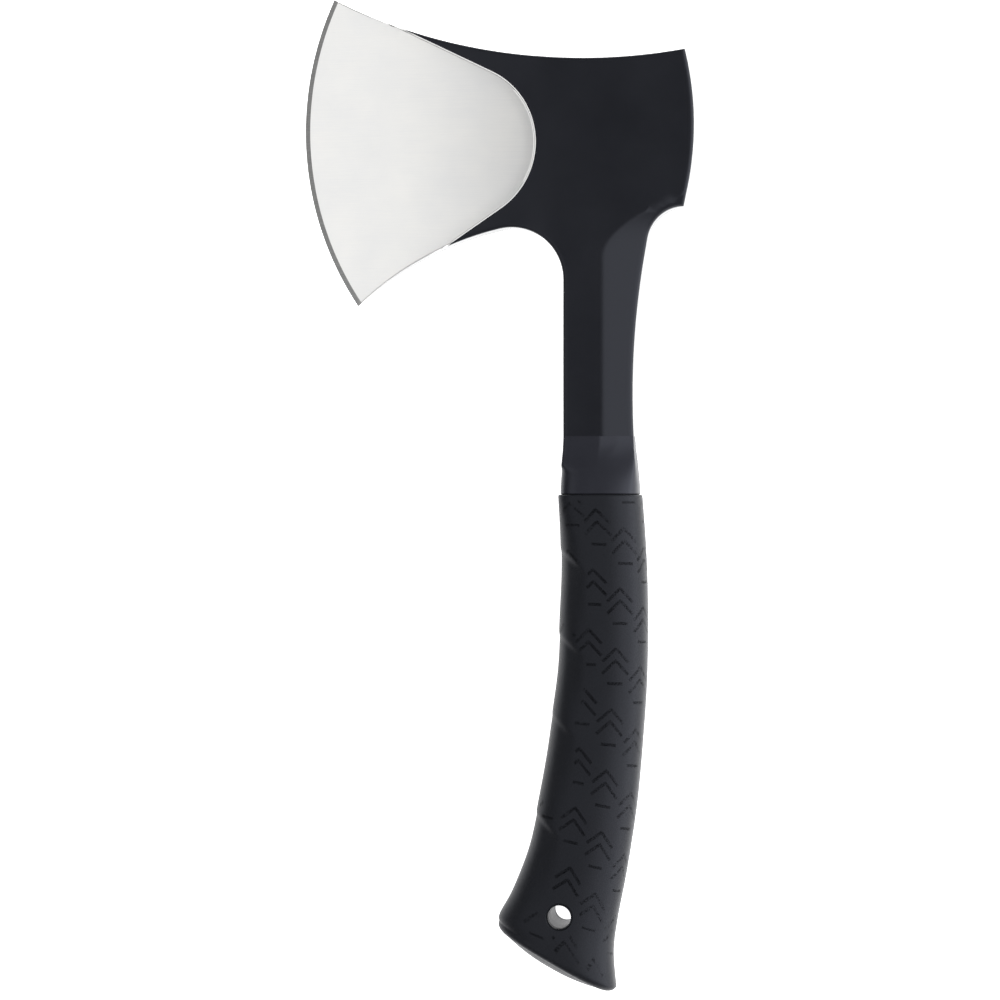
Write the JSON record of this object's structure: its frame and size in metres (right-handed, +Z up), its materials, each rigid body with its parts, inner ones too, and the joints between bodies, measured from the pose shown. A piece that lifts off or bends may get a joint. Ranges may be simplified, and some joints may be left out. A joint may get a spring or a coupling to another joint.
{
  "type": "hatchet",
  "caption": "Compact camp hatchet: one-piece forged head and shaft with satin ground blade, convex cutting edge, plain poll, smooth collar and soft curved grip with lanyard bore.",
  "frame": {"origin": "centre of the footprint of the hatchet lying flat, at the level of the lowest flank of the grip", "axes": "+Y along the handle from the grip to the head, -X towards the cutting edge, +Z up through the thickness; all parts share the horizontal mid plane at z = 11 mm"},
  "size_m": [0.1186, 0.2992, 0.022],
  "materials": {
    "coated_steel": "matte black coating over forged carbon steel, satin ground blade faces with a bare sharpened edge",
    "hard_core": "satin black glass-filled nylon",
    "soft_grip": "matte black soft-touch rubber with an engraved tread"
  },
  "bodies": {
    "root": {"steel_body": "coated_steel", "grip_core": "hard_core", "rubber_grip": "soft_grip"}
  },
  "joints": []
}
